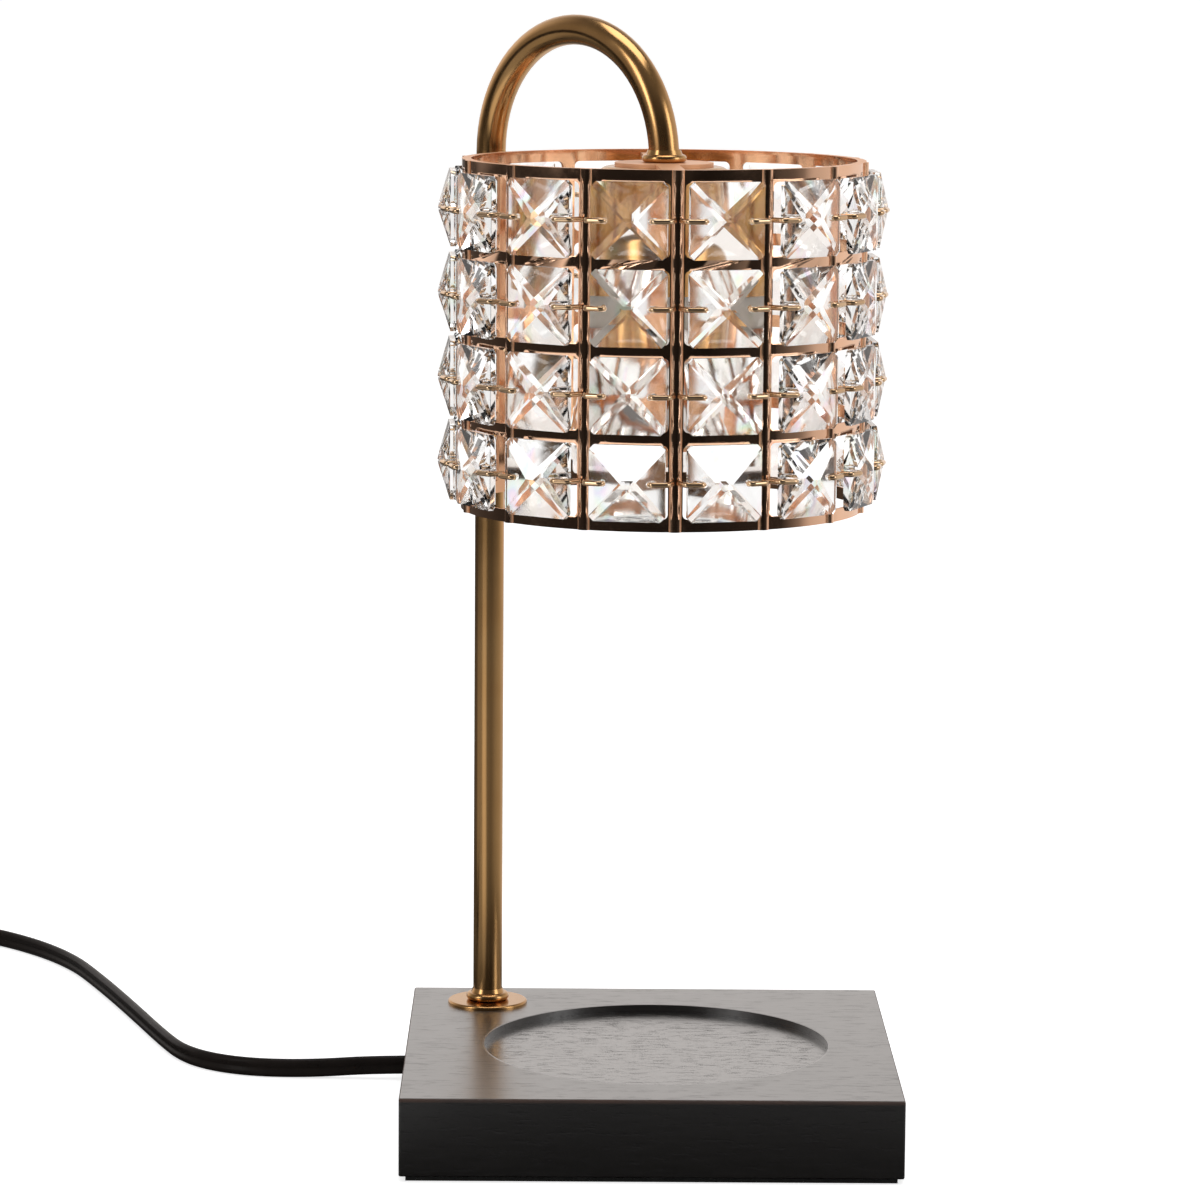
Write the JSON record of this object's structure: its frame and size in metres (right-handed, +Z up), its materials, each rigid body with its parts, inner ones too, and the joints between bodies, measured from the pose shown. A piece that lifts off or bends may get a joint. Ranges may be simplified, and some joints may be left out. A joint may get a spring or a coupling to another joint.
{
  "type": "candle warmer",
  "caption": "Electric candle warmer: square black wooden base with a candle recess, bent brass post with a half-circle arch, crystal-hung rose-gold shade with a lamp, and a dimmer lead.",
  "frame": {"origin": "middle of the base's underside, on the surface it stands on", "axes": "+Z up; -Y is the front; the post stands behind and to the left, at -X +Y"},
  "size_m": [0.357, 0.3044, 0.296],
  "materials": {
    "black_wood": "black stain under satin lacquer, fine grain",
    "foam": "matte closed-cell foam",
    "antique_brass": "satin antique brass plate",
    "rose_gold": "mirror-polished rose-gold plate",
    "crystal": "clear faceted lead crystal",
    "gold_wire": "bright gold wire",
    "zinc_steel": "zinc-plated",
    "ceramic": "glazed steatite",
    "contact_brass": "bare brass, slightly brushed",
    "lamp_reflector": "aluminised glass",
    "lamp_glass": "clear moulded glass",
    "cord_jacket": "glossy flexible jacket",
    "black_plastic": "fine moulded texture",
    "shaft_plastic": "plain moulded",
    "circuit_board": "solder resist",
    "live_insulation": "plain insulation",
    "neutral_insulation": "plain insulation"
  },
  "bodies": {
    "warmer": {"wood_base": "black_wood", "base_pad": "foam", "stem_tube": "antique_brass", "stem_flange": "antique_brass", "lower_collar": "antique_brass", "upper_collar": "antique_brass", "socket_cup": "antique_brass", "shade_frame": "rose_gold", "shade_spider": "rose_gold", "crystal_column_01": "crystal", "crystal_column_02": "crystal", "crystal_column_03": "crystal", "crystal_column_04": "crystal", "crystal_column_05": "crystal", "crystal_column_06": "crystal", "crystal_column_07": "crystal", "crystal_column_08": "crystal", "crystal_column_09": "crystal", "crystal_column_10": "crystal", "crystal_column_11": "crystal", "crystal_column_12": "crystal", "crystal_column_13": "crystal", "crystal_column_14": "crystal", "crystal_pins": "gold_wire", "lower_nipple": "zinc_steel", "stem_washer": "zinc_steel", "stem_nut": "zinc_steel", "upper_nipple": "zinc_steel", "upper_nut": "zinc_steel", "holder_bracket": "zinc_steel", "holder_screws": "zinc_steel", "dimmer_screws": "zinc_steel", "lampholder": "ceramic", "contact_springs": "contact_brass", "plug_blades": "contact_brass", "cord_lead": "cord_jacket", "cord_coil": "cord_jacket", "cord_bushing": "black_plastic", "dimmer_lower_shell": "black_plastic", "dimmer_upper_shell": "black_plastic", "dimmer_relief_lamp_side": "black_plastic", "dimmer_relief_plug_side": "black_plastic", "plug_body": "black_plastic", "plug_relief": "black_plastic", "coil_ties": "black_plastic", "dimmer_potentiometer": "black_plastic", "dimmer_board": "circuit_board", "conductor_live": "live_insulation", "conductor_neutral": "neutral_insulation"},
    "lamp": {"lamp_base": "ceramic", "lamp_studs": "contact_brass", "lamp_reflector": "lamp_reflector", "lamp_lens": "lamp_glass", "lamp_capsule": "lamp_glass"},
    "thumbwheel": {"dimmer_wheel": "black_plastic", "dimmer_shaft": "shaft_plastic"}
  },
  "joints": [
    {"name": "lamp_twist", "type": "hinge", "parent": "warmer", "child": "lamp", "pos_m": [0.002, -0.002, 0.2297], "axis": [0, 0, 1], "range_deg": [-25, 0]},
    {"name": "dimmer_turn", "type": "hinge", "parent": "warmer", "child": "thumbwheel", "pos_m": [-0.2745, 0.13695, 0.0085], "axis": [0, 0, 1], "range_deg": [0, 270]}
  ]
}
